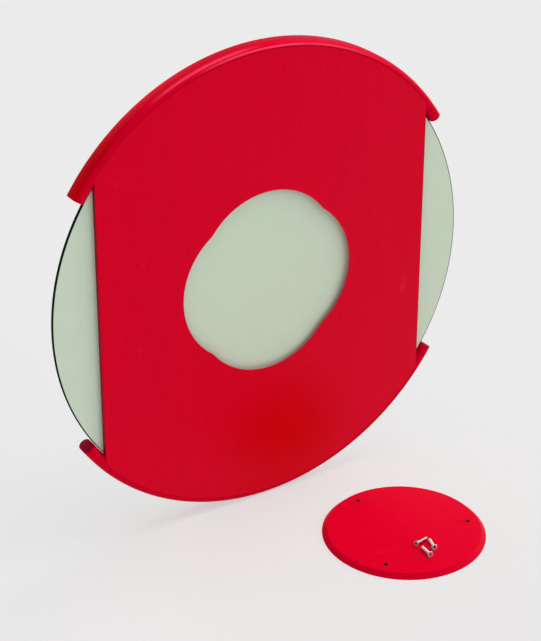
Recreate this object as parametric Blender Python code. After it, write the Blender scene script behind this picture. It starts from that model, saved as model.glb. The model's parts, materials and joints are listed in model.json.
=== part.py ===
"""Round wall mirror standing on edge with its back in view, and its loose wall disc.

Metres, +Z up, +X to the right for someone who looks at the back along +Y.
The reflecting side faces +Y.  The mirror stands on its lower lip at Z = 0.

The mirror is drawn lying on its face: its own frame has X to the right, Y up the
mirror and Z from the reflecting side to the wall side.  One empty stands it upright.
"""

from math import acos, atan2, cos, pi, radians, sin, sqrt

import bmesh
import bpy
from mathutils import Matrix, Vector

# ---------------------------------------------------------------- driving sizes
SEAT = 0.0003                  # clearance between a piece and what carries it
OVERSHOOT = 0.002              # how far a cutter runs past the face it opens

GLASS_RADIUS = 0.284
GLASS_THICKNESS = 0.004
GLASS_ARRIS = 0.0005           # ground edge of the glass

TAPE_GAP = 0.001               # space between glass and plate, filled by the tape
TAPE_WIDTH = 0.025
TAPE_LENGTH = 0.200

PLATE_THICKNESS = 0.006
PLATE_WIDTH = 0.4545           # between the two straight sides
PLATE_EDGE = 0.0004            # broken edge all round the plate

LIP_THICKNESS = 0.0155         # radial size of the stadium section
LIP_REACH = 0.0145             # how far the lips stand proud of the glass
LIP_GLASS_GAP = 0.0005         # between glass edge and lip
LIP_HALF_SPAN = radians(57.2)
LIP_BITE = 0.0080              # how deep the recess for the plate is cut into a lip
LIP_END_EDGE = 0.0006          # broken edge of the sawn lip ends

LOBE_RADIUS = 0.0955           # each of the four round lobes of the hanging hole
LOBE_OFFSET = 0.0220           # lobe centre from the middle of the plate
CUSP_RADIUS = 0.028            # rounding between two lobes
HOLE_LAND = 0.0003             # blunt rim of the undercut hole at the wall side

DISC_PLAY = 0.0003             # between the disc's bevel and the bevel of a lobe
DISC_LAND = 0.0003             # blunt rim of the disc at its front face
DISC_RIGHT = 0.094             # where the disc lies: its centre from the mirror's middle
DISC_BEHIND = 0.1635           # and from the wall side of the mirror

SCREW_COUNT = 3
SCREW_CIRCLE_RADIUS = 0.0815
SCREW_CIRCLE_START = radians(99)
SCREW_LENGTH = 0.020
SCREW_SHANK_RADIUS = 0.002
SCREW_HEAD_RADIUS = 0.0039
SCREW_HEAD_RIM = 0.0003
SCREW_TIP_CHAMFER = 0.0005
SCREW_CLEARANCE = 0.0007       # around shank and head in the disc's holes
SOCKET_WIDTH = 0.0025          # across the flats of the hexagon socket
SOCKET_DEPTH = 0.0016

# Each loose screw on the disc: its head from the disc's centre, and where it points.
SCREW_PLACES = (
    (-0.0109, -0.0398, radians(14)),
    (0.0030, -0.0584, radians(71)),
    (-0.0099, -0.0677, radians(83)),
)

# ------------------------------------------------------------- sizes that follow
LIP_INNER_RADIUS = GLASS_RADIUS + LIP_GLASS_GAP
LIP_OUTER_RADIUS = LIP_INNER_RADIUS + LIP_THICKNESS
RECESS_RADIUS = LIP_INNER_RADIUS + LIP_BITE
PLATE_ARC_RADIUS = RECESS_RADIUS - SEAT

GLASS_FRONT_Z = LIP_REACH
GLASS_BACK_Z = GLASS_FRONT_Z + GLASS_THICKNESS
PLATE_FRONT_Z = GLASS_BACK_Z + TAPE_GAP
WALL_Z = PLATE_FRONT_Z + PLATE_THICKNESS

DISC_THICKNESS = PLATE_THICKNESS
DISC_WALL_RADIUS = LOBE_RADIUS - HOLE_LAND - DISC_PLAY
DISC_RADIUS = DISC_WALL_RADIUS + DISC_THICKNESS - DISC_LAND

HOLE_REACH = LOBE_OFFSET + LOBE_RADIUS
MIRROR_HEIGHT = 2 * LIP_OUTER_RADIUS
OVERALL_DEPTH = WALL_Z + DISC_BEHIND + DISC_RADIUS
FRONT_Y = OVERALL_DEPTH / 2
WALL_Y = FRONT_Y - WALL_Z

# ------------------------------------------------------- how fine the curves are
GLASS_STEPS = 160
DISC_STEPS = 128
SCREW_STEPS = 32
SECTION_STEPS = 10             # facets of each half-round of a lip's section
LIP_STEPS = 73                 # odd, so that a facet and no ridge is lowest
PLATE_ARC_STEPS = 72
LOBE_STEPS = 26
CUSP_STEPS = 4


# ------------------------------------------------------------------- outlines
def arc(centre_x, centre_y, radius, start, end, steps):
    """Points on an arc, both ends included."""
    angles = [start + (end - start) * i / steps for i in range(steps + 1)]
    return [(centre_x + radius * cos(a), centre_y + radius * sin(a)) for a in angles]


def plate_outline(clearance):
    """Two arcs joined by straight sides, grown outwards by the clearance."""
    half_width = PLATE_WIDTH / 2 + clearance
    radius = PLATE_ARC_RADIUS + clearance
    corner = acos(half_width / radius)
    upper = arc(0, 0, radius, corner, pi - corner, PLATE_ARC_STEPS)
    return upper + [(-x, -y) for x, y in upper]


def hole_outline(growth):
    """Four round lobes with rounded cusps between them, grown outwards."""
    offset = LOBE_OFFSET * sqrt(0.5)
    reach = LOBE_RADIUS + CUSP_RADIUS
    cusp = offset + sqrt(reach ** 2 - offset ** 2)
    turn = atan2(cusp * sqrt(0.5), cusp * sqrt(0.5) - LOBE_OFFSET)
    points = []
    for quarter in range(4):
        heading = quarter * pi / 2
        diagonal = heading + pi / 4
        lobe_x = LOBE_OFFSET * cos(heading)
        lobe_y = LOBE_OFFSET * sin(heading)
        points += arc(lobe_x, lobe_y, LOBE_RADIUS + growth, heading - turn, heading + turn,
                      LOBE_STEPS)
        rounding = arc(cusp * cos(diagonal), cusp * sin(diagonal), CUSP_RADIUS - growth,
                       heading + turn + pi, heading + pi / 2 - turn + pi, CUSP_STEPS)
        points += rounding[1:-1]
    return points


def lip_section():
    """Stadium section of a lip as radius and height, with half-round front and wall sides."""
    half = LIP_THICKNESS / 2
    middle = LIP_INNER_RADIUS + half
    wall_side = arc(middle, WALL_Z - half, half, 0, pi, SECTION_STEPS)
    front_side = arc(middle, half, half, pi, 2 * pi, SECTION_STEPS)
    return wall_side + front_side


# --------------------------------------------------------------- solid builders
def add_prism(bm, levels):
    """Stack outlines, given as (height, points), into one closed solid."""
    rings = []
    for height, points in levels:
        rings.append([bm.verts.new((x, y, height)) for x, y in points])
    count = len(rings[0])
    for lower, upper in zip(rings, rings[1:]):
        for i in range(count):
            j = (i + 1) % count
            bm.faces.new((lower[i], lower[j], upper[j], upper[i]))
    bm.faces.new(list(reversed(rings[0])))
    bm.faces.new(rings[-1])


def add_revolve(bm, profile, steps, centre_x=0.0, centre_y=0.0):
    """Spin a (radius, height) profile, which starts and ends on the axis, about Z."""
    verts = [bm.verts.new((centre_x + radius, centre_y, height)) for radius, height in profile]
    edges = [bm.edges.new(pair) for pair in zip(verts, verts[1:])]
    bmesh.ops.spin(bm, geom=verts + edges, cent=(centre_x, centre_y, 0), axis=(0, 0, 1),
                   angle=2 * pi, steps=steps, use_merge=True)
    bmesh.ops.remove_doubles(bm, verts=bm.verts, dist=0.00001)


def make_object(name, bm, material=None, parent=None, smooth=False):
    """Turn a bmesh into a named object with its own material."""
    bmesh.ops.recalc_face_normals(bm, faces=bm.faces)
    mesh = bpy.data.meshes.new(name)
    bm.to_mesh(mesh)
    bm.free()
    if smooth:
        mesh.shade_smooth()
        mesh.set_sharp_from_angle(angle=radians(30))
    if material:
        mesh.materials.append(material)
    obj = bpy.data.objects.new(name, mesh)
    obj.parent = parent
    bpy.context.scene.collection.objects.link(obj)
    return obj


def make_cutter(name, bm, parent):
    """A solid that only Boolean modifiers use."""
    cutter = make_object(name, bm, parent=parent)
    cutter.display_type = "WIRE"
    cutter.hide_render = True
    return cutter


def cut(obj, cutter):
    """Subtract the cutter from the object."""
    modifier = obj.modifiers.new(cutter.name, "BOOLEAN")
    modifier.operation = "DIFFERENCE"
    modifier.object = cutter


def make_empty(name, location, rotation=(0, 0, 0)):
    """A holder that places a group of pieces."""
    empty = bpy.data.objects.new(name, None)
    empty.location = location
    empty.rotation_euler = rotation
    bpy.context.scene.collection.objects.link(empty)
    return empty


def make_material(name, colour, roughness, metallic=0.0):
    """Principled surface for one sub-part."""
    material = bpy.data.materials.new(name)
    material.use_nodes = True
    shader = material.node_tree.nodes["Principled BSDF"]
    shader.inputs["Base Color"].default_value = (*colour, 1)
    shader.inputs["Roughness"].default_value = roughness
    shader.inputs["Metallic"].default_value = metallic
    return material


# -------------------------------------------------------------- mirror's pieces
def make_glass(mirror):
    """Flat round pane with ground edges."""
    edge = GLASS_RADIUS - GLASS_ARRIS
    profile = [
        (0, GLASS_FRONT_Z),
        (edge, GLASS_FRONT_Z),
        (GLASS_RADIUS, GLASS_FRONT_Z + GLASS_ARRIS),
        (GLASS_RADIUS, GLASS_BACK_Z - GLASS_ARRIS),
        (edge, GLASS_BACK_Z),
        (0, GLASS_BACK_Z),
    ]
    bm = bmesh.new()
    add_revolve(bm, profile, GLASS_STEPS)
    coating = make_material("mirror_glass", (0.50, 0.58, 0.44), 0.35)
    make_object("mirror_glass", bm, coating, mirror, smooth=True)


def make_tape(name, mirror, centre, size):
    """One strip of mounting tape between glass and plate, clear of both by SEAT."""
    bm = bmesh.new()
    thickness = TAPE_GAP - 2 * SEAT
    middle = Matrix.Translation((*centre, GLASS_BACK_Z + TAPE_GAP / 2))
    bmesh.ops.create_cube(bm, size=1, matrix=middle @ Matrix.Diagonal((*size, thickness, 1)))
    make_object(name, bm, make_material(name, (0.75, 0.75, 0.72), 0.8), mirror)


def make_tapes(mirror):
    """Strips at the sides, above and below the hanging hole."""
    beside = (HOLE_REACH + PLATE_WIDTH / 2) / 2
    above = (HOLE_REACH + GLASS_RADIUS) / 2
    upright = (TAPE_WIDTH, TAPE_LENGTH)
    level = (TAPE_LENGTH, TAPE_WIDTH)
    make_tape("tape_left", mirror, (-beside, 0), upright)
    make_tape("tape_right", mirror, (beside, 0), upright)
    make_tape("tape_upper", mirror, (0, above), level)
    make_tape("tape_lower", mirror, (0, -above), level)


def make_plate(mirror):
    """Back plate: straight sides, arched ends and the undercut hanging hole."""
    inside = plate_outline(-PLATE_EDGE)
    full = plate_outline(0)
    bm = bmesh.new()
    add_prism(bm, (
        (PLATE_FRONT_Z, inside),
        (PLATE_FRONT_Z + PLATE_EDGE, full),
        (WALL_Z - PLATE_EDGE, full),
        (WALL_Z, inside),
    ))
    plate = make_object("back_plate", bm, make_material("back_plate", (0.60, 0.0, 0.02), 0.55),
                        mirror)

    growth = PLATE_THICKNESS - HOLE_LAND + OVERSHOOT
    bm = bmesh.new()
    add_prism(bm, (
        (PLATE_FRONT_Z - OVERSHOOT, hole_outline(growth)),
        (WALL_Z - HOLE_LAND, hole_outline(0)),
        (WALL_Z + OVERSHOOT, hole_outline(0)),
    ))
    cut(plate, make_cutter("hanging_hole_cutter", bm, mirror))


def make_lip(name, mirror, side, recess):
    """Curved lip above (side = 1) or below (side = -1), let into the plate's arched end."""
    start = side * pi / 2 - LIP_HALF_SPAN
    turn = Matrix.Rotation(start, 4, "Z")
    bm = bmesh.new()
    verts = [bm.verts.new(turn @ Vector((radius, 0, z))) for radius, z in lip_section()]
    edges = [bm.edges.new((verts[i - 1], verts[i])) for i in range(len(verts))]
    bmesh.ops.spin(bm, geom=verts + edges, cent=(0, 0, 0), axis=(0, 0, 1),
                   angle=2 * LIP_HALF_SPAN, steps=LIP_STEPS)
    open_edges = [edge for edge in bm.edges if edge.is_boundary]
    ends = bmesh.ops.holes_fill(bm, edges=open_edges)["faces"]
    rim = {edge for face in ends for edge in face.edges}
    bmesh.ops.bevel(bm, geom=list(rim), offset=LIP_END_EDGE, segments=2, profile=0.5,
                    affect="EDGES", clamp_overlap=True)
    paint = make_material(name, (0.70, 0.003, 0.03), 0.45)
    lip = make_object(name, bm, paint, mirror, smooth=True)
    cut(lip, recess)


def make_mirror():
    """The whole mirror, stood upright on its lower lip."""
    mirror = make_empty("mirror", (0, FRONT_Y, MIRROR_HEIGHT / 2), (pi / 2, 0, 0))
    make_glass(mirror)
    make_tapes(mirror)
    make_plate(mirror)

    seat = plate_outline(SEAT)
    bm = bmesh.new()
    add_prism(bm, ((PLATE_FRONT_Z - SEAT, seat), (WALL_Z + OVERSHOOT, seat)))
    recess = make_cutter("plate_recess_cutter", bm, mirror)
    make_lip("upper_lip", mirror, 1, recess)
    make_lip("lower_lip", mirror, -1, recess)


# ------------------------------------------------------------ wall disc, screws
def make_disc():
    """Bevelled wall disc, lying on its larger front face with the wall side up."""
    profile = [
        (0, 0),
        (DISC_RADIUS, 0),
        (DISC_RADIUS, DISC_LAND),
        (DISC_WALL_RADIUS, DISC_THICKNESS),
        (0, DISC_THICKNESS),
    ]
    bm = bmesh.new()
    add_revolve(bm, profile, DISC_STEPS)
    paint = make_material("wall_disc", (0.74, 0.003, 0.03), 0.45)
    disc = make_object("wall_disc", bm, paint)
    disc.location = (DISC_RIGHT, WALL_Y - DISC_BEHIND, 0)

    hole = SCREW_SHANK_RADIUS + SCREW_CLEARANCE
    mouth = SCREW_HEAD_RADIUS + SCREW_CLEARANCE
    drill = [
        (0, -OVERSHOOT),
        (mouth, -OVERSHOOT),
        (mouth, SCREW_HEAD_RIM),
        (hole, SCREW_HEAD_RIM + mouth - hole),
        (hole, DISC_THICKNESS + OVERSHOOT),
        (0, DISC_THICKNESS + OVERSHOOT),
    ]
    bm = bmesh.new()
    for x, y in arc(0, 0, SCREW_CIRCLE_RADIUS, SCREW_CIRCLE_START,
                    SCREW_CIRCLE_START + 2 * pi, SCREW_COUNT)[:-1]:
        add_revolve(bm, drill, SCREW_STEPS, x, y)
    cut(disc, make_cutter("screw_hole_cutter", bm, disc))
    return disc


def make_screw(name, disc, place):
    """Countersunk screw lying on the disc, on the rim of its head and its tip."""
    x, y, heading = place
    cone_end = SCREW_HEAD_RIM + SCREW_HEAD_RADIUS - SCREW_SHANK_RADIUS
    tip = SCREW_LENGTH - SCREW_TIP_CHAMFER
    profile = [
        (0, 0),
        (SCREW_HEAD_RADIUS, 0),
        (SCREW_HEAD_RADIUS, -SCREW_HEAD_RIM),
        (SCREW_SHANK_RADIUS, -cone_end),
        (SCREW_SHANK_RADIUS, -tip),
        (SCREW_SHANK_RADIUS - SCREW_TIP_CHAMFER, -SCREW_LENGTH),
        (0, -SCREW_LENGTH),
    ]
    bm = bmesh.new()
    add_revolve(bm, profile, SCREW_STEPS)
    steel = make_material(name, (0.62, 0.63, 0.65), 0.3, metallic=1.0)
    screw = make_object(name, bm, steel, disc, smooth=True)

    dip = atan2(SCREW_HEAD_RADIUS - SCREW_SHANK_RADIUS, tip - SCREW_HEAD_RIM)
    lift = SCREW_HEAD_RADIUS * cos(dip) + SCREW_HEAD_RIM * sin(dip)
    screw.location = (x, y, DISC_THICKNESS + SEAT + lift)
    screw.rotation_euler = (0, dip - pi / 2, heading)

    bm = bmesh.new()
    corner_radius = SOCKET_WIDTH / 2 / cos(pi / 6)
    bmesh.ops.create_cone(bm, cap_ends=True, segments=6, radius1=corner_radius,
                          radius2=corner_radius, depth=2 * SOCKET_DEPTH)
    cut(screw, make_cutter(name + "_socket_cutter", bm, screw))


def build():
    """Clear the scene and make every sub-part."""
    for obj in list(bpy.data.objects):
        bpy.data.objects.remove(obj)
    make_mirror()
    disc = make_disc()
    for number, place in enumerate(SCREW_PLACES, start=1):
        make_screw(f"screw_{number}", disc, place)


build()
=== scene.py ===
# %% [markdown]
# # A round wall mirror, seen from behind
#
# The object is a flat round mirror that stands on edge with its back in view. A red plate
# is let into two curved lips, and a lobed hole in the plate hangs on a bevelled disc that
# is screwed to the wall. Here the disc lies loose on the floor with its three screws.
# A CAD model gives the main places and sizes. This notebook dresses it with finer shapes,
# paint, glass and steel, and adds a camera, a floor and lamps.

# %% Load the CAD model
import json
from math import atan2, cos, degrees, pi, radians, sin

import bmesh
import bpy
from mathutils import Matrix, Vector

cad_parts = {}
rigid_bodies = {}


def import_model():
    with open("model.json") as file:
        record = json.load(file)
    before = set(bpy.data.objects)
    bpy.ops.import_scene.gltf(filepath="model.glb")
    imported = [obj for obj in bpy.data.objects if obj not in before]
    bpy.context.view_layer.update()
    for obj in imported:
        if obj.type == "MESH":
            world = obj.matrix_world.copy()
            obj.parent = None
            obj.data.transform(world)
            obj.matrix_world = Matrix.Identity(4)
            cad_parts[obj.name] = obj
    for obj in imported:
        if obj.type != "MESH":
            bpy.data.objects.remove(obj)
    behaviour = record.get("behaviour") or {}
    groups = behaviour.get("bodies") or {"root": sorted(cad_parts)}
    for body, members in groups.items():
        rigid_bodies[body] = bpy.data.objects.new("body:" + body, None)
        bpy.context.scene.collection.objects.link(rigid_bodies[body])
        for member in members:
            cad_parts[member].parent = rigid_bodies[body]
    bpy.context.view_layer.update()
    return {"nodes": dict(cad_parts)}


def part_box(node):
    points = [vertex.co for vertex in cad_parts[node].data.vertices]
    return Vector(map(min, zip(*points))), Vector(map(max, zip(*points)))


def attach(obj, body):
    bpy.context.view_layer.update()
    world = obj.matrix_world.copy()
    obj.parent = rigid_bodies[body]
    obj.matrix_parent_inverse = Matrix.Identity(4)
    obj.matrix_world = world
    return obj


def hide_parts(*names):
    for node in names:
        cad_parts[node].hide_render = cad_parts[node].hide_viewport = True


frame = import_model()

print("CAD nodes:", ", ".join(sorted(frame["nodes"])))

# %% [markdown]
# ## Measure the mirror
#
# The frame knows the box of each CAD node. The pane's box gives the middle of the mirror
# and its radius, and the upper lip's box gives the depth. The pieces below are drawn lying
# on their face, with Z from the reflecting side to the wall side, because a lathe and a
# sweep are easiest to think about that way. One matrix stands them up.

# %% Sizes from the frame
pane_low, pane_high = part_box("mirror_glass")
plate_low, plate_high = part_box("back_plate")
lip_low, lip_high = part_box("upper_lip")
disc_low, disc_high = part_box("wall_disc")

middle = (pane_low + pane_high) / 2
glass_radius = (pane_high.x - pane_low.x) / 2
glass_thickness = pane_high.y - pane_low.y
lip_depth = lip_high.y - lip_low.y
glass_front = lip_high.y - pane_high.y
glass_back = glass_front + glass_thickness
plate_front = lip_high.y - plate_high.y
stand = Matrix.Translation((middle.x, lip_high.y, middle.z)) @ Matrix.Rotation(pi / 2, 4, "X")
print(f"glass: radius {glass_radius:.4f} m, {glass_thickness * 1000:.1f} mm thick")
print(f"lips: {lip_depth * 1000:.1f} mm deep")
print(f"glass face: {glass_front * 1000:.1f} mm behind the front of the lips")

# %% [markdown]
# ## Camera
#
# The camera stands behind the mirror, to the left and above, with a long lens so that
# the circle stays almost a plain ellipse. A small lens shift frames the mirror high and
# leaves room for the disc, without tilting the camera further.

# %% Camera
LENS = 103.76
LENS_SHIFT = -0.093604
FAR_CLIP = 50
CAMERA_PLACE = Vector((-1.0613, -1.5693, 1.2799))
CAMERA_TURN = (radians(64.476), radians(-0.107), radians(-32.162))
camera_data = bpy.data.cameras.new("camera")
camera_data.lens = LENS
camera_data.shift_y = LENS_SHIFT
camera_data.clip_end = FAR_CLIP
camera = bpy.data.objects.new("camera", camera_data)
camera.location = CAMERA_PLACE
camera.rotation_euler = CAMERA_TURN
bpy.context.scene.collection.objects.link(camera)
bpy.context.scene.camera = camera
print("camera is", round((CAMERA_PLACE - middle).length, 2), "m from the mirror's middle")

# %% [markdown]
# ## Tools for the pieces
#
# Every new piece starts as a bmesh. `finish_piece` turns it into an object, smooths its
# shading with sharp edges kept, and lets it ride on a body of the CAD model, so that it
# moves when that body does. `carve` uses a Boolean modifier once and applies it. `lathe`
# spins an outline into a round solid, and `soften` rounds edges.

# %% Helpers for meshes
SHARP_ANGLE = radians(35)
MERGE_DISTANCE = 0.000005
ROUND_SEGMENTS = 3


def smooth_shading(mesh):
    """Smooth the shading of the mesh, and keep its sharp edges."""
    mesh.shade_smooth()
    mesh.set_sharp_from_angle(angle=SHARP_ANGLE)


def finish_piece(name, bm, body=None):
    """Make an object of the bmesh and, where a body is named, let it ride on that."""
    bmesh.ops.recalc_face_normals(bm, faces=bm.faces)
    mesh = bpy.data.meshes.new(name)
    bm.to_mesh(mesh)
    bm.free()
    smooth_shading(mesh)
    piece = bpy.data.objects.new(name, mesh)
    bpy.context.scene.collection.objects.link(piece)
    if body:
        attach(piece, body)
    return piece


def carve(piece, tool_bm, operation="DIFFERENCE"):
    """Apply one Boolean with a tool given as a bmesh, and remove the tool."""
    tool = finish_piece("tool", tool_bm)
    modifier = piece.modifiers.new("carve", "BOOLEAN")
    modifier.operation = operation
    modifier.object = tool
    bpy.context.view_layer.update()
    depsgraph = bpy.context.evaluated_depsgraph_get()
    carved = bpy.data.meshes.new_from_object(piece.evaluated_get(depsgraph))
    piece.modifiers.clear()
    uncut = piece.data
    piece.data = carved
    carved.name = piece.name
    bpy.data.meshes.remove(uncut)
    bpy.data.objects.remove(tool)
    smooth_shading(carved)


def lathe(bm, profile, steps):
    """Spin a (radius, height) profile that begins and ends on the axis."""
    verts = [bm.verts.new((radius, 0, height)) for radius, height in profile]
    edges = [bm.edges.new(pair) for pair in zip(verts, verts[1:])]
    bmesh.ops.spin(bm, geom=verts + edges, cent=(0, 0, 0), axis=(0, 0, 1), angle=2 * pi,
                   steps=steps, use_merge=True)
    bmesh.ops.remove_doubles(bm, verts=bm.verts, dist=MERGE_DISTANCE)


def soften(bm, edges, width):
    """Round the given edges."""
    bmesh.ops.bevel(bm, geom=edges, offset=width, offset_type="OFFSET", profile=0.5,
                    segments=ROUND_SEGMENTS, affect="EDGES", material=-1, clamp_overlap=True)

# %% [markdown]
# ## The pane
#
# A sheet of mirror glass is clear glass with silver on its back and a coat of paint over
# the silver. From behind, the paint is what one sees: a flat pale green. Only the ground
# edge of the glass is bare, and it looks almost black, because hardly any light leaves the
# glass that way. So the pane is a lathed disc with a small arris, and the paint is a thin
# disc of its own that stops just short of the edge.

# %% Pane and paint coat
COAT = 0.0001
ARRIS = 0.0004
BARE_RIM = 0.0012
WIDE_STEPS = 256
bm = bmesh.new()
lathe(bm, [
    (0, glass_front),
    (glass_radius - ARRIS, glass_front),
    (glass_radius, glass_front + ARRIS),
    (glass_radius, glass_back - COAT - ARRIS),
    (glass_radius - ARRIS, glass_back - COAT),
    (0, glass_back - COAT),
], WIDE_STEPS)
bm.transform(stand)
pane = finish_piece("glass_pane", bm, "mirror")
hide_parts("mirror_glass")

bm = bmesh.new()
coat_radius = glass_radius - BARE_RIM
lathe(bm, [
    (0, glass_back - COAT),
    (coat_radius, glass_back - COAT),
    (coat_radius - COAT, glass_back),
    (0, glass_back),
], WIDE_STEPS)
bm.transform(stand)
coat = finish_piece("back_coat", bm, "mirror")
print("pane:", len(pane.data.polygons), "faces; coat:", len(coat.data.polygons), "faces")

# %% [markdown]
# ## The lips
#
# Each lip is a bent bar with a stadium section: two half rounds joined by flats. A circle
# is pulled apart into the stadium, and `spin` sweeps it round the middle of the mirror, so
# that the lip hugs the edge of the pane. On the real lip the sawn ends are broken by hand
# with a file, so once they are closed they get a small bevel.

# %% Section and sweep of a lip
LIP_THICKNESS = 0.0155
LIP_HALF_SPAN = radians(57.2)
END_BREAK = 0.0006
SECTION_STEPS = 48
SWEEP_STEPS = 144
HAIR = 0.00001
lip_outer = lip_high.z - middle.z
lip_middle = lip_outer - LIP_THICKNESS / 2


def lip_section(bm):
    """Stadium made of a circle whose wall-side half is pulled away from the front half."""
    half = LIP_THICKNESS / 2
    ring = bmesh.ops.create_circle(bm, segments=SECTION_STEPS, radius=half)["verts"]
    place = Matrix.Translation((lip_middle, 0, half)) @ Matrix.Rotation(pi / 2, 4, "X")
    bmesh.ops.transform(bm, matrix=place, verts=ring)
    wall_side = [v for v in ring if v.co.z > half + HAIR]
    bmesh.ops.translate(bm, verts=wall_side, vec=(0, 0, lip_depth - LIP_THICKNESS))


def sweep_lip(side):
    """The whole bar above (side = 1) or below (side = -1) the pane."""
    bm = bmesh.new()
    lip_section(bm)
    turn = Matrix.Rotation(side * pi / 2 - LIP_HALF_SPAN, 4, "Z")
    bmesh.ops.transform(bm, matrix=turn, verts=bm.verts)
    bmesh.ops.spin(bm, geom=bm.verts[:] + bm.edges[:], cent=(0, 0, 0), axis=(0, 0, 1),
                   angle=2 * LIP_HALF_SPAN, steps=SWEEP_STEPS)
    open_edges = [e for e in bm.edges if e.is_boundary]
    ends = bmesh.ops.holes_fill(bm, edges=open_edges)["faces"]
    soften(bm, [e for face in ends for e in face.edges], END_BREAK)
    return bm


print(f"lip: outer radius {lip_outer:.4f} m, section {LIP_THICKNESS * 1000:.1f} mm by "
      f"{lip_depth * 1000:.1f} mm")

# %% [markdown]
# The recess is as wide as the plate and as deep as it is thick, plus a hair for the joint.
# Its curved wall stops about halfway through the lip, so the plate's edge meets the crown
# of the lip's round back and the two read as one surface with a fine joint. The mouth of
# the recess is eased with a small round, the way a pass with paper leaves it.

# %% Cut the recess and place the lips
MOUTH = 0.0004
MOUTH_STEPS = 4
JOINT = 0.0001
OVERSHOOT = 0.002
RECESS_STEPS = 720
plate_half_width = (plate_high.x - plate_low.x) / 2
plate_arc_radius = plate_high.z - middle.z


def recess_tool():
    """Solid of the space that the plate takes, with the joint and the eased mouth."""
    radius = plate_arc_radius + JOINT
    profile = [(0, plate_front - JOINT), (radius, plate_front - JOINT)]
    for step in range(MOUTH_STEPS + 1):
        angle = step / MOUTH_STEPS * pi / 2
        profile.append((radius + MOUTH * (1 - cos(angle)), lip_depth - MOUTH * (1 - sin(angle))))
    profile += [(radius + MOUTH, lip_depth + OVERSHOOT), (0, lip_depth + OVERSHOOT)]
    bm = bmesh.new()
    lathe(bm, profile, RECESS_STEPS)
    for way in (-1, 1):
        edge = (way * (plate_half_width + JOINT), 0, 0)
        cut = bmesh.ops.bisect_plane(bm, geom=bm.verts[:] + bm.edges[:] + bm.faces[:],
                                     plane_co=edge, plane_no=(way, 0, 0), clear_outer=True)
        rim = [g for g in cut["geom_cut"] if isinstance(g, bmesh.types.BMEdge)]
        bmesh.ops.holes_fill(bm, edges=rim)
    bm.transform(stand)
    return bm


for name, side in (("upper_lip", 1), ("lower_lip", -1)):
    bm = sweep_lip(side)
    bm.transform(stand)
    lip = finish_piece(name + "_bar", bm, "mirror")
    carve(lip, recess_tool())
    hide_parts(name)
    print(lip.name, len(lip.data.polygons), "faces")

# %% [markdown]
# ## The wall disc
#
# A round plate with a bevel at 45 degrees, turned on a lathe. The rim of its upper, smaller
# face is lightly rounded, as paint leaves it. Three countersunk holes go through the disc.
# The countersinks are on the side that faces down here.

# %% Turn the disc
DISC_LAND = 0.0003
RIM_ROUND = 0.0005
RIM_ANGLE = radians(20)
disc_middle = (disc_low + disc_high) / 2
disc_radius = (disc_high.x - disc_low.x) / 2
disc_top = disc_high.z - disc_low.z
disc_place = Matrix.Translation((disc_middle.x, disc_middle.y, disc_low.z))

bm = bmesh.new()
lathe(bm, [
    (0, 0),
    (disc_radius, 0),
    (disc_radius, DISC_LAND),
    (disc_radius - disc_top + DISC_LAND, disc_top),
    (0, disc_top),
], WIDE_STEPS)
bm.normal_update()
top_rim = [e for e in bm.edges
           if e.calc_face_angle(0) > RIM_ANGLE and e.verts[0].co.z > disc_top - HAIR]
soften(bm, top_rim, RIM_ROUND)
bm.transform(disc_place)
disc = finish_piece("wall_disc_turned", bm, "wall_disc")
print("disc:", round(disc_radius * 2000, 1), "mm across, rim of", len(top_rim), "edges")

# %% [markdown]
# One drill bit makes each hole: a straight shank for the screw, a cone for the
# countersink and a short straight mouth for the rim of the screw's head. The three bits
# go into one tool, so that one Boolean cuts all the holes.

# %% Drill the disc
SCREW_RADIUS = 0.002
HEAD_RADIUS = 0.0039
HEAD_RIM = 0.0003
HOLE_PLAY = 0.0007
HOLE_CIRCLE = 0.0815
HOLE_START = radians(99)
NARROW_STEPS = 48
hole_radius = SCREW_RADIUS + HOLE_PLAY
mouth_radius = HEAD_RADIUS + HOLE_PLAY
hole_angles = [HOLE_START + number * 2 * pi / 3 for number in range(3)]
hole_places = [Vector((HOLE_CIRCLE * cos(a), HOLE_CIRCLE * sin(a), 0)) for a in hole_angles]

bm = bmesh.new()
for place in hole_places:
    drill = bmesh.new()
    lathe(drill, [
        (0, -OVERSHOOT),
        (mouth_radius, -OVERSHOOT),
        (mouth_radius, HEAD_RIM),
        (hole_radius, HEAD_RIM + mouth_radius - hole_radius),
        (hole_radius, disc_top + OVERSHOOT),
        (0, disc_top + OVERSHOOT),
    ], NARROW_STEPS)
    drill.transform(Matrix.Translation(place))
    bit = bpy.data.meshes.new("drill")
    drill.to_mesh(bit)
    drill.free()
    bm.from_mesh(bit)
    bpy.data.meshes.remove(bit)
bm.transform(disc_place)
carve(disc, bm)
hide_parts("wall_disc")
print("drilled disc:", len(disc.data.polygons), "faces")

# %% [markdown]
# ## The screws
#
# A machine screw is a lathed head and cone with a threaded shank. A thread is one small
# V that climbs as it turns: `spin` takes a `dvec`, the climb of each step, so a column of
# V shapes swept once round joins up into a helix. Three shares of the pitch say where the
# groove ends and where the crest starts and ends. The thread is made overlong. Then it is
# trimmed to the shank's envelope, joined to the head, and the hexagon socket is cut.

# %% Thread of one screw, upright with its head up
SCREW_LENGTH = 0.020
PITCH = 0.0007
ROOT_RADIUS = 0.00158
SPARE_TURNS = 2
THREAD_STEPS = 36
GROOVE_END = 0.15
CREST_START = 0.52
CREST_END = 0.63


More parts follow.
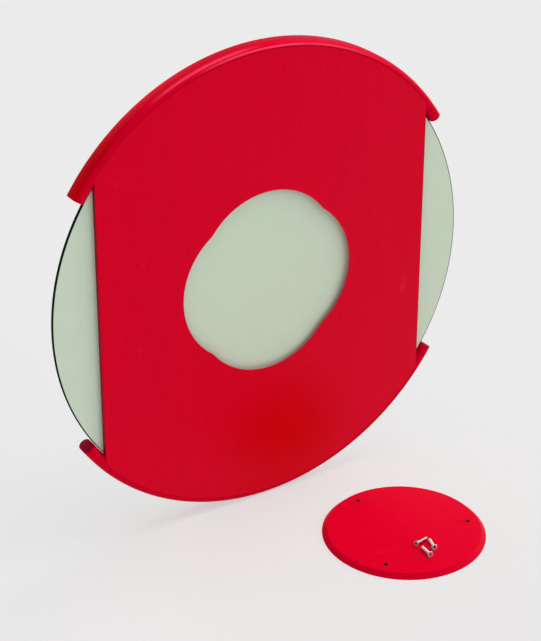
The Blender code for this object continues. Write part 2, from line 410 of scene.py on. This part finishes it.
def thread_mesh():
    """Helical thread a little longer than the shank, closed at both ends."""
    bm = bmesh.new()
    turns = int(SCREW_LENGTH / PITCH) + SPARE_TURNS
    column = []
    for turn in range(turns):
        foot = -turn * PITCH
        column.append(bm.verts.new((ROOT_RADIUS, 0, foot)))
        column.append(bm.verts.new((ROOT_RADIUS, 0, foot - PITCH * GROOVE_END)))
        column.append(bm.verts.new((SCREW_RADIUS, 0, foot - PITCH * CREST_START)))
        column.append(bm.verts.new((SCREW_RADIUS, 0, foot - PITCH * CREST_END)))
    column.append(bm.verts.new((ROOT_RADIUS, 0, -turns * PITCH)))
    edges = [bm.edges.new(pair) for pair in zip(column, column[1:])]
    bmesh.ops.spin(bm, geom=column + edges, cent=(0, 0, 0), axis=(0, 0, 1), angle=2 * pi,
                   steps=THREAD_STEPS, dvec=(0, 0, PITCH / THREAD_STEPS))
    bmesh.ops.remove_doubles(bm, verts=bm.verts, dist=MERGE_DISTANCE)
    bmesh.ops.holes_fill(bm, edges=[e for e in bm.edges if e.is_boundary])
    bmesh.ops.triangulate(bm, faces=[f for f in bm.faces if len(f.verts) > 4])
    return bm


bm = thread_mesh()
print("thread:", len(bm.faces), "faces, open edges:", sum(e.is_boundary for e in bm.edges))
screw = finish_piece("screw_master", bm)

# %% Trim the thread, add the head, cut the socket
TIP_CHAMFER = 0.0005
THREAD_OVERLAP = 0.0004
CONE_OVERLAP = 0.0002
HEAD_EASE = 0.00015
HEAD_STEPS = 64
SOCKET_WIDTH = 0.0025
SOCKET_DEPTH = 0.0016
cone_end = HEAD_RIM + HEAD_RADIUS - SCREW_RADIUS
tip = SCREW_LENGTH - TIP_CHAMFER

bm = bmesh.new()
lathe(bm, [
    (0, -cone_end + THREAD_OVERLAP),
    (SCREW_RADIUS, -cone_end + THREAD_OVERLAP),
    (SCREW_RADIUS, -tip),
    (SCREW_RADIUS - TIP_CHAMFER, -SCREW_LENGTH),
    (0, -SCREW_LENGTH),
], NARROW_STEPS)
carve(screw, bm, "INTERSECT")

bm = bmesh.new()
lathe(bm, [
    (0, 0),
    (HEAD_RADIUS - HEAD_EASE, 0),
    (HEAD_RADIUS, -HEAD_EASE),
    (HEAD_RADIUS, -HEAD_RIM),
    (SCREW_RADIUS - CONE_OVERLAP, -cone_end - CONE_OVERLAP),
    (0, -cone_end - CONE_OVERLAP),
], HEAD_STEPS)
carve(screw, bm, "UNION")

bm = bmesh.new()
socket_corner = SOCKET_WIDTH / 2 / cos(pi / 6)
bmesh.ops.create_cone(bm, cap_ends=True, segments=6, radius1=socket_corner,
                      radius2=socket_corner, depth=2 * SOCKET_DEPTH)
carve(screw, bm)
print("screw:", len(screw.data.polygons), "faces")

# %% [markdown]
# The finishes need to know where the screw gets painted shade and where its head is flat.
# Two point attributes carry that with the mesh: `depth` is 1 in the roots of the thread and
# down in the socket, where the shade is painted, and `head` is 1 on the flat top of the head.

# %% Mark the places for painted shade and the top of the head
MARGIN = 0.0001
deep_points = screw.data.attributes.new("depth", "FLOAT", "POINT")
head_points = screw.data.attributes.new("head", "FLOAT", "POINT")
for vert in screw.data.vertices:
    out = vert.co.xy.length
    in_root = vert.co.z < -cone_end and out < ROOT_RADIUS + MARGIN
    in_socket = -cone_end < vert.co.z < -MARGIN and out < socket_corner + MARGIN
    deep_points.data[vert.index].value = 1.0 if in_root or in_socket else 0.0
    head_points.data[vert.index].value = 1.0 if vert.co.z > -HEAD_EASE / 2 else 0.0
print("shade_painted points:", sum(point.value > 0.5 for point in deep_points.data))
print("points on the head:", sum(point.value > 0.5 for point in head_points.data))

# %% [markdown]
# A loose countersunk screw rests on two points: the rim of its head and the far end of
# its shank. The dip of its axis follows from the two radii and the distance between them.
# Each place is measured from the middle of the disc. The CAD model leaves a small gap
# under each screw, the seat, and that is kept. Each screw rides on its own body.

# %% Lay the three screws on the disc
SEAT = 0.0003
SCREW_PLACES = (
    ("screw_1", -0.0109, -0.0398, radians(14)),
    ("screw_2", 0.0030, -0.0584, radians(71)),
    ("screw_3", -0.0099, -0.0677, radians(83)),
)
dip = atan2(HEAD_RADIUS - SCREW_RADIUS, tip - HEAD_RIM)
lift = HEAD_RADIUS * cos(dip) + HEAD_RIM * sin(dip)

for name, x, y, heading in SCREW_PLACES:
    lay = (Matrix.Translation((x, y, disc_top + SEAT + lift))
           @ Matrix.Rotation(heading, 4, "Z") @ Matrix.Rotation(dip - pi / 2, 4, "Y"))
    bm = bmesh.new()
    bm.from_mesh(screw.data)
    bm.transform(disc_place @ lay)
    loose = finish_piece(name + "_threaded", bm, name)
    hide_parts(name)
bpy.data.objects.remove(screw)
print(f"screws dip by {degrees(dip):.1f} degrees")

# %% [markdown]
# ## Finishes
#
# A finish is a Principled shader fed by a few nodes. These helpers each add one kind of
# node: a noise for grain and grit, a remap from one stretch of values to another, a blend
# of two colours, some arithmetic and a bump. Every pattern reads Object coordinates, so it
# sits in the piece and moves with it.

# %% Helpers for materials
NOISE_LOW = 0.3
NOISE_HIGH = 0.7


def new_material(name):
    """Material with its node tree and its Principled shader."""
    material = bpy.data.materials.new(name)
    material.use_nodes = True
    tree = material.node_tree
    return material, tree, tree.nodes["Principled BSDF"]


def feed(tree, socket, value):
    """Give a socket another socket's value, a number, or a colour of three parts."""
    if isinstance(value, bpy.types.NodeSocket):
        tree.links.new(value, socket)
    elif isinstance(value, tuple):
        socket.default_value = (*value, 1)
    else:
        socket.default_value = value


def noise(tree, scale, detail=2, stretch=(1, 1, 1), roughness=0.5, shift=(0, 0, 0)):
    """Noise on Object coordinates, stretched along an axis for a grain."""
    coords = tree.nodes.new("ShaderNodeTexCoord")
    mapping = tree.nodes.new("ShaderNodeMapping")
    mapping.inputs["Scale"].default_value = stretch
    mapping.inputs["Location"].default_value = shift
    texture = tree.nodes.new("ShaderNodeTexNoise")
    texture.inputs["Scale"].default_value = scale
    texture.inputs["Detail"].default_value = detail
    texture.inputs["Roughness"].default_value = roughness
    tree.links.new(coords.outputs["Object"], mapping.inputs["Vector"])
    tree.links.new(mapping.outputs["Vector"], texture.inputs["Vector"])
    return texture.outputs["Fac"]


def remap(tree, value, start, end, low, high, easing="LINEAR"):
    """Go from low to high while the value goes from start to end."""
    node = tree.nodes.new("ShaderNodeMapRange")
    node.interpolation_type = easing
    node.inputs["From Min"].default_value = start
    node.inputs["From Max"].default_value = end
    node.inputs["To Min"].default_value = low
    node.inputs["To Max"].default_value = high
    tree.links.new(value, node.inputs["Value"])
    return node.outputs["Result"]


def spread(tree, value, low, high):
    """Map the stretch where most values of a noise lie to a range."""
    return remap(tree, value, NOISE_LOW, NOISE_HIGH, low, high)


def math_node(tree, operation, *values):
    """A Math node whose inputs are sockets or plain numbers."""
    node = tree.nodes.new("ShaderNodeMath")
    node.operation = operation
    for socket, value in zip(node.inputs, values):
        feed(tree, socket, value)
    return node.outputs["Value"]


def blend_colours(tree, share, first, second):
    """Mix two colours: a share of 0 gives the first, a share of 1 the second."""
    mix = tree.nodes.new("ShaderNodeMix")
    mix.data_type = "RGBA"
    tree.links.new(share, mix.inputs["Factor"])
    feed(tree, mix.inputs["A"], first)
    feed(tree, mix.inputs["B"], second)
    return mix.outputs["Result"]


def paint_over(tree, mask, colour):
    """Lay one more colour over the base colour where the mask says so."""
    base = tree.nodes["Principled BSDF"].inputs["Base Color"]
    under = base.links[0].from_socket
    tree.links.new(blend_colours(tree, mask, under, colour), base)


def bump(tree, shader, height, strength, distance):
    """Add a bump from a height value."""
    node = tree.nodes.new("ShaderNodeBump")
    node.inputs["Strength"].default_value = strength
    node.inputs["Distance"].default_value = distance
    tree.links.new(height, node.inputs["Height"])
    tree.links.new(node.outputs["Normal"], shader.inputs["Normal"])

# %% [markdown]
# The red is a satin lacquer. Three things keep it from being one flat colour: a fine and a
# coarse grain along the piece, a stipple that drives roughness and bump together, and
# sparse pale rub marks where something brushed past. A red this deep has less green in it
# than a screen can show, so a plain white reflection would grey it. `Specular Tint` takes
# the green out of the reflection: the plate mirrors the pale floor as a breath of magenta,
# the lips and the disc as a deep red. On the lips a little `Metallic` does the same for
# highlights.

# %% Red lacquer
RUBBED = (0.86, 0.10, 0.16)
RUB_SHIFT = (0.31, 0, 0.07)
RUB_START = 0.67
RUB_FULL = 0.77


def grain_along(axis, across, along):
    """Scales that draw a noise out into a grain along one axis."""
    scales = [across, across, across]
    scales[axis] = along
    return tuple(scales)


def red_lacquer(name, light, dark, grain_axis, metal, gloss, tint, rub):
    """Satin paint with a grain along one axis, a stipple and a few rub marks."""
    material, tree, shader = new_material(name)
    fine = noise(tree, scale=60, detail=4, stretch=grain_along(grain_axis, across=9, along=0.6))
    coarse = noise(tree, scale=20, detail=3, stretch=grain_along(grain_axis, across=6, along=0.3))
    halved = math_node(tree, "MULTIPLY", coarse, 0.5)
    grain = math_node(tree, "MULTIPLY_ADD", fine, 0.5, halved)
    tree.links.new(blend_colours(tree, spread(tree, grain, 0, 1), dark, light),
                   shader.inputs["Base Color"])

    marks = noise(tree, scale=34, detail=5, stretch=(1, 1, 0.5), roughness=0.6, shift=RUB_SHIFT)
    paint_over(tree, remap(tree, marks, RUB_START, RUB_FULL, 0, rub), RUBBED)

    stipple = noise(tree, scale=900)
    tree.links.new(spread(tree, stipple, 0.32, 0.46), shader.inputs["Roughness"])
    shader.inputs["Metallic"].default_value = metal
    shader.inputs["Specular IOR Level"].default_value = gloss
    shader.inputs["Specular Tint"].default_value = (*tint, 1)
    bump(tree, shader, stipple, strength=0.15, distance=0.0002)
    return material


DEEP_RED = (0.8, 0.02, 0.06)
MAGENTA = (1, 0, 0.9)
plate_paint = red_lacquer("plate_paint", light=(0.78, 0.0002, 0.013), dark=(0.725, 0.0001, 0.012),
                          grain_axis=2, metal=0.0, gloss=0.14, tint=MAGENTA, rub=0.22)
lip_paint = red_lacquer("lip_paint", light=(0.72, 0.0003, 0.024), dark=(0.67, 0.0002, 0.020),
                        grain_axis=0, metal=0.2, gloss=0.02, tint=DEEP_RED, rub=0.18)
disc_paint = red_lacquer("disc_paint", light=(0.81, 0.0003, 0.026), dark=(0.76, 0.0002, 0.023),
                         grain_axis=0, metal=0.0, gloss=0.02, tint=DEEP_RED, rub=0.12)
print("lacquers:", plate_paint.name, lip_paint.name, disc_paint.name)

# %% [markdown]
# The crown of the upper lip, just outside the joint, is the proudest line of the object.
# A paler line is painted there as a painted highlight, and a second, shorter painted
# highlight lies on the outer flank to the left of the top. Right of the top the outer flank
# is painted darker, and the left end is painted the deepest red: both are painted shade.
# All four are streaks along the curve: a band in the distance from the mirror's middle, a
# stretch from left to right, and a noise that breaks them up. The two painted highlights
# stay on the half of the bar that faces the wall, the two painted shades go right round it.
# Every streak fades out towards the height of the middle, so that the lower lip, which
# shares the paint, gets none.

# %% Helpers for streaks
SIDE_RISE = 0.10
front_ease = lip_depth / 4


def ease(tree, value, start, end):
    """Rise softly from 0 to 1 while the value goes from start to end."""
    return remap(tree, value, start, end, 0, 1, "SMOOTHSTEP")


def parts_of(tree, output):
    """The three parts of a Texture Coordinate output."""
    coords = tree.nodes.new("ShaderNodeTexCoord")
    split = tree.nodes.new("ShaderNodeSeparateXYZ")
    tree.links.new(coords.outputs[output], split.inputs["Vector"])
    return split.outputs


def reach_from(tree, x, z):
    """Distance from a line that runs from front to back through x and z."""
    coords = tree.nodes.new("ShaderNodeTexCoord")
    flat = tree.nodes.new("ShaderNodeMapping")
    flat.inputs["Location"].default_value = (-x, 0, -z)
    flat.inputs["Scale"].default_value = (1, 0, 1)
    tree.links.new(coords.outputs["Object"], flat.inputs["Vector"])
    length = tree.nodes.new("ShaderNodeVectorMath")
    length.operation = "LENGTH"
    tree.links.new(flat.outputs["Vector"], length.inputs[0])
    return length.outputs["Value"]


def streak(material, colour, strength, radius, width, left, right, front):
    """A band at one distance from the mirror's middle, eased in and out from left to right."""
    tree = material.node_tree
    place = parts_of(tree, "Object")
    reach = reach_from(tree, middle.x, middle.z)
    off = math_node(tree, "ABSOLUTE", math_node(tree, "SUBTRACT", reach, radius))
    mask = math_node(tree, "MULTIPLY", strength, ease(tree, off, width, 0))
    for limit in (
        ease(tree, place["X"], *left),
        ease(tree, place["X"], *right),
        ease(tree, place["Y"], front, front - front_ease),
        ease(tree, place["Z"], middle.z, middle.z + SIDE_RISE),
        spread(tree, noise(tree, scale=30, detail=3), 0.7, 1),
    ):
        mask = math_node(tree, "MULTIPLY", mask, limit)
    paint_over(tree, mask, colour)

# %% Painted highlights and painted shade along the upper lip
PAINTED_HIGHLIGHT = (0.98, 0.07, 0.15)
PAINTED_SHADE_RIGHT = (0.55, 0.015, 0.06)
PAINTED_SHADE_LEFT = (0.50, 0.0, 0.0)
CROWN_STEP = 0.0022
FLANK_STEP = 0.0018
crown = plate_arc_radius + JOINT + MOUTH + CROWN_STEP
flank = lip_outer - FLANK_STEP
wall_half = lip_low.y + lip_depth / 2
all_round = lip_high.y + lip_depth
# Painted shade on the right flank and at the left end, then painted highlights on the crown and
# on the left flank.
streak(lip_paint, PAINTED_SHADE_RIGHT, strength=0.70, radius=lip_outer, width=0.0045,
       left=(-0.02, 0.08), right=(0.30, 0.22), front=all_round)
streak(lip_paint, PAINTED_SHADE_LEFT, strength=0.80, radius=lip_outer, width=0.0065,
       left=(-0.30, -0.26), right=(-0.15, -0.23), front=all_round)
streak(lip_paint, PAINTED_HIGHLIGHT, strength=0.95, radius=crown, width=0.0018,
       left=(-0.105, -0.045), right=(0.19, 0.09), front=wall_half)
streak(lip_paint, PAINTED_HIGHLIGHT, strength=0.80, radius=flank, width=0.0018,
       left=(-0.16, -0.12), right=(0, -0.06), front=wall_half)
print(f"streaks at {crown * 1000:.1f}, {flank * 1000:.1f} and {lip_outer * 1000:.1f} mm")

# %% [markdown]
# Low on the plate, a little right of the middle, a painted reflection of the red disc
# makes the lacquer a purer red without its cool tinge. A wide soft patch round one point
# does that: the ease is so long that no rim of the patch can be seen.

# %% Painted reflection of the disc, low on the plate
PAINTED_DISC_REFLECTION = (0.70, 0.0, 0.0)
REFLECTION_X = 0.025
REFLECTION_Z = 0.08
REFLECTION_CORE = 0.015
REFLECTION_RIM = 0.13
tree = plate_paint.node_tree
# Painted reflection: a soft patch of purer red where the disc would mirror in the plate.
paint_over(tree, ease(tree, reach_from(tree, REFLECTION_X, REFLECTION_Z), REFLECTION_RIM, REFLECTION_CORE), PAINTED_DISC_REFLECTION)
print(f"purer patch: {REFLECTION_RIM * 2000:.0f} mm across, {REFLECTION_Z * 1000:.0f} mm above the floor")

# %% [markdown]
# Edges get painted shade. The normal tells an edge from a face: where it leans away
# from the face's axis, the colour sinks. The straight sides of the plate and the bevel of
# the disc get this. The sawn ends of the lips, which face along the curve, get a darker
# paint of their own, painted shade as well.

# %% Painted shade on edges and lip ends
PAINTED_EDGE_SHADE = (0.12, 0.001, 0.004)
EDGE_ON = 0.5
FACE_ON = 0.95


def darken_edges(material, axis, strength):
    """Paint shade where the surface turns away from the axis of the flat face."""
    tree = material.node_tree
    facing = math_node(tree, "ABSOLUTE", parts_of(tree, "Normal")[axis])
    paint_over(tree, remap(tree, facing, EDGE_ON, FACE_ON, strength, 0), PAINTED_EDGE_SHADE)


# Painted shade on the plate's sides and the disc's bevel; below, a darker paint as painted shade
# for the lips' sawn ends.
darken_edges(plate_paint, "Y", strength=0.75)
darken_edges(disc_paint, "Z", strength=0.28)
lip_end_painted_shade = red_lacquer("lip_end_painted_shade", light=(0.34, 0.0003, 0.026),
                            dark=(0.26, 0.0002, 0.020), grain_axis=1, metal=0.0, gloss=0.02,
                            tint=DEEP_RED, rub=0.10)
print("darker at the edges:", plate_paint.name, disc_paint.name, lip_end_painted_shade.name)

# %% [markdown]
# The pane takes two finishes. Its face is a mirror: silver seen through clear glass, so a
# metal with almost no roughness. Its ground edge is dark and a little rough. The coat is
# flat paint with soft patches and a slight flow, and the tape is foam with fine cells.

# %% Glass, coat and tape
silver, tree, shader = new_material("silvered_glass")
faint = noise(tree, scale=8)
tree.links.new(blend_colours(tree, faint, (0.84, 0.87, 0.86), (0.86, 0.89, 0.87)),
               shader.inputs["Base Color"])
tree.links.new(spread(tree, faint, 0.008, 0.016), shader.inputs["Roughness"])
shader.inputs["Metallic"].default_value = 1

ground_edge, tree, shader = new_material("ground_glass_edge")
grit = noise(tree, scale=1400)
tree.links.new(blend_colours(tree, grit, (0.003, 0.004, 0.004), (0.008, 0.010, 0.009)),
               shader.inputs["Base Color"])
tree.links.new(spread(tree, grit, 0.4, 0.6), shader.inputs["Roughness"])
shader.inputs["Specular IOR Level"].default_value = 0.02

coat_finish, tree, shader = new_material("green_coat")
patches = spread(tree, noise(tree, scale=40, detail=3), 0, 1)
tree.links.new(blend_colours(tree, patches, (0.645, 0.785, 0.62), (0.665, 0.80, 0.635)),
               shader.inputs["Base Color"])
flow = noise(tree, scale=300)
tree.links.new(spread(tree, flow, 0.5, 0.65), shader.inputs["Roughness"])
shader.inputs["Specular IOR Level"].default_value = 0.1
bump(tree, shader, flow, strength=0.08, distance=0.0002)

tape_finish, tree, shader = new_material("foam_tape")
cells = noise(tree, scale=1500)
tree.links.new(blend_colours(tree, cells, (0.7, 0.7, 0.68), (0.8, 0.8, 0.78)),
               shader.inputs["Base Color"])
tree.links.new(spread(tree, cells, 0.85, 0.95), shader.inputs["Roughness"])
bump(tree, shader, cells, strength=0.4, distance=0.0003)
print("mirror finishes:", silver.name, ground_edge.name, coat_finish.name, tape_finish.name)

# %% [markdown]
# The screws are bright steel, with painted shade where light does not reach: in the roots
# of the thread and down in the socket, where the `depth` attribute says so. The flat tops of
# the heads are duller than the rest, with a share of plain grey in the metal, as a driver
# leaves them. The holes through the disc are painted dark too, as painted shade.

# %% Steel, and painted shade in the screws and bores
PAINTED_SHADE_IN_HOLLOWS = (0.035, 0.032, 0.034)


def bright_steel(name, metal, dark, light, smooth, rough):
    """Steel between two greys, with painted shade where the depth attribute says so."""
    material, tree, shader = new_material(name)
    marks = noise(tree, scale=1200)
    tree.links.new(blend_colours(tree, marks, dark, light), shader.inputs["Base Color"])
    depth = tree.nodes.new("ShaderNodeAttribute")
    depth.attribute_name = "depth"
    # Painted shade in the roots of the thread and down in the socket.
    paint_over(tree, depth.outputs["Fac"], PAINTED_SHADE_IN_HOLLOWS)
    tree.links.new(spread(tree, marks, smooth, rough), shader.inputs["Roughness"])
    shader.inputs["Metallic"].default_value = metal
    return material


steel = bright_steel("zinc_steel", metal=1, dark=(0.74, 0.73, 0.72), light=(0.90, 0.89, 0.88),
                     smooth=0.10, rough=0.20)
head_steel = bright_steel("dull_head", metal=0.45, dark=(0.42, 0.39, 0.43),
                          light=(0.58, 0.55, 0.59), smooth=0.22, rough=0.34)

# Painted shade: the walls of the bores are painted almost black.
bore, tree, shader = new_material("bore_painted_shade")
bore_speckle = noise(tree, scale=1800)
tree.links.new(blend_colours(tree, bore_speckle, (0.020, 0.006, 0.007), (0.040, 0.012, 0.013)),
               shader.inputs["Base Color"])
shader.inputs["Roughness"].default_value = 0.7
shader.inputs["Specular IOR Level"].default_value = 0.1
print("metal finishes:", steel.name, head_steel.name, bore.name)

# %% [markdown]
# Each piece now gets its finish. Where a piece takes two, every face is told by its normal
# or its place: the silvered face of the pane looks to the reflecting side, the sawn ends of
# a lip look along the curve, and a bore's faces lie within reach of a hole and are not
# flat. The plate and the tapes are shown as the CAD model has them, so only their material
# is set.

# %% Dress the mirror
FLAT = 0.9
ENDWISE = 0.95


def dress(piece, *materials):
    """Give the piece its materials; the first one covers it, other slots follow."""
    piece.data.materials.clear()
    for material in materials:
        piece.data.materials.append(material)


pieces = bpy.data.objects
dress(pane, silver, ground_edge)
for face in pane.data.polygons:
    face.material_index = 0 if face.normal.y > FLAT else 1
dress(coat, coat_finish)
for name in ("upper_lip_bar", "lower_lip_bar"):
    # The second slot, on the sawn ends, is the darker paint of painted shade.
    dress(pieces[name], lip_paint, lip_end_painted_shade)
    for face in pieces[name].data.polygons:
        outwards = (face.center - middle) * Vector((1, 0, 1))
        along = outwards.cross(Vector((0, 1, 0))).normalized()
        face.material_index = 1 if abs(face.normal.dot(along)) > ENDWISE else 0
frame["nodes"]["back_plate"].material_slots[0].material = plate_paint
for name in ("tape_left", "tape_right", "tape_upper", "tape_lower"):
    frame["nodes"][name].material_slots[0].material = tape_finish
print("sawn faces:", sum(face.material_index for face in pieces["upper_lip_bar"].data.polygons))

# %% Dress the disc and the screws
dress(disc, disc_paint, bore)
for face in disc.data.polygons:
    from_middle = (face.center - disc_middle).xy
    near = min((place.xy - from_middle).length for place in hole_places)
    flat = abs(face.normal.z) > FLAT
    face.material_index = 1 if near < mouth_radius and not flat else 0
for name, *_ in SCREW_PLACES:
    loose = pieces[name + "_threaded"]
    dress(loose, steel, head_steel)
    on_head = loose.data.attributes["head"].data
    for face in loose.data.polygons:
        top = all(on_head[number].value > 0.5 for number in face.vertices)
        face.material_index = 1 if top else 0
print("bore faces:", sum(face.material_index for face in disc.data.polygons))

# %% [markdown]
# ## Floor and light
#
# A plain pale floor. The strongest lamp stands to the right, almost in the plane of the
# mirror, so its light meets the mirror nearly edge on and the shadow is a thin soft strip.
# Weaker lamps fill in from the camera's side, from above and from the reflecting side.
# Every lamp is a sun with a wide angle, so that shadows are soft, and the world fills the
# rest.
#
# `Light Path` tells rays that are seen, directly or in gloss or glass, from rays that only
# carry light about. Seen rays find the world as pale as the floor. They also find more than
# half of the floor's colour as plain glow, which keeps the red that the pieces throw on it
# down to a trace. The rest is lit, so the floor still shows the shadows.

# %% Floor
FLOOR_REACH = 12
bm = bmesh.new()
bmesh.ops.create_grid(bm, x_segments=1, y_segments=1, size=FLOOR_REACH)
floor_mesh = bpy.data.meshes.new("floor")
bm.to_mesh(floor_mesh)
bm.free()
floor = bpy.data.objects.new("floor", floor_mesh)
bpy.context.scene.collection.objects.link(floor)
print("floor:", round(floor.dimensions.x, 1), "m wide")

# %% Floor finish and world
PALE_GREY = 0.83
FLOOR_GLOW = 0.6
SKY = 0.39


def by_ray(tree, lighting, seen):
    """One value for rays that carry light about, another for camera, mirror and glass rays."""
    path = tree.nodes.new("ShaderNodeLightPath")
    reached = path.outputs["Is Camera Ray"]
    for kind in ("Is Glossy Ray", "Is Transmission Ray"):
        reached = math_node(tree, "MAXIMUM", reached, path.outputs[kind])
    return remap(tree, reached, 0, 1, lighting, seen)


floor_finish, tree, shader = new_material("floor")
shader.inputs["Base Color"].default_value = (PALE_GREY, PALE_GREY, PALE_GREY, 1)
shader.inputs["Roughness"].default_value = 1
shader.inputs["Specular IOR Level"].default_value = 0
glow = tree.nodes.new("ShaderNodeEmission")
glow.inputs["Color"].default_value = (PALE_GREY, PALE_GREY, PALE_GREY, 1)
mixed = tree.nodes.new("ShaderNodeMixShader")
tree.links.new(by_ray(tree, 0, FLOOR_GLOW), mixed.inputs["Fac"])
tree.links.new(shader.outputs["BSDF"], mixed.inputs[1])
tree.links.new(glow.outputs["Emission"], mixed.inputs[2])
tree.links.new(mixed.outputs["Shader"], tree.nodes["Material Output"].inputs["Surface"])
dress(floor, floor_finish)

world = bpy.data.worlds.new("world")
bpy.context.scene.world = world
world.use_nodes = True
tree = world.node_tree
background = tree.nodes["Background"]
background.inputs["Color"].default_value = (1, 1, 1, 1)
tree.links.new(by_ray(tree, SKY, PALE_GREY), background.inputs["Strength"])
print("world:", SKY, "as light,", PALE_GREY, "where it is seen")

# %% [markdown]
# Each row of the table is a lamp: its name, its elevation and azimuth, its strength and
# its own angle, with angles in degrees. Azimuth 0 is straight behind the mirror, on the
# side of its back, and 90 is to the right as seen from there.

# %% Lamps
LAMPS = (
    ("right_wall_of_light", 34, 84, 1.50, 56),
    ("far_side_fill", 18, 180, 0.60, 30),
    ("front_right_fill", 30, 30, 0.36, 30),
    ("overhead", 80, 80, 0.56, 40),
    ("high_front_left", 65, 315, 0.20, 40),
)
for name, elevation, azimuth, energy, lamp_angle in LAMPS:
    lamp_data = bpy.data.lights.new(name, "SUN")
    lamp_data.energy = energy
    lamp_data.angle = radians(lamp_angle)
    lamp = bpy.data.objects.new(name, lamp_data)
    rise = radians(elevation)
    turn = radians(azimuth)
    towards = Vector((sin(turn) * cos(rise), -cos(turn) * cos(rise), sin(rise)))
    lamp.rotation_euler = towards.to_track_quat("Z", "Y").to_euler()
    bpy.context.scene.collection.objects.link(lamp)
bpy.context.scene.view_settings.view_transform = "Standard"
print(len(LAMPS), "lamps")

# %% [markdown]
# ## Update the scene
#
# The view layer is updated once more.

# %% Update the view layer
bpy.context.view_layer.update()
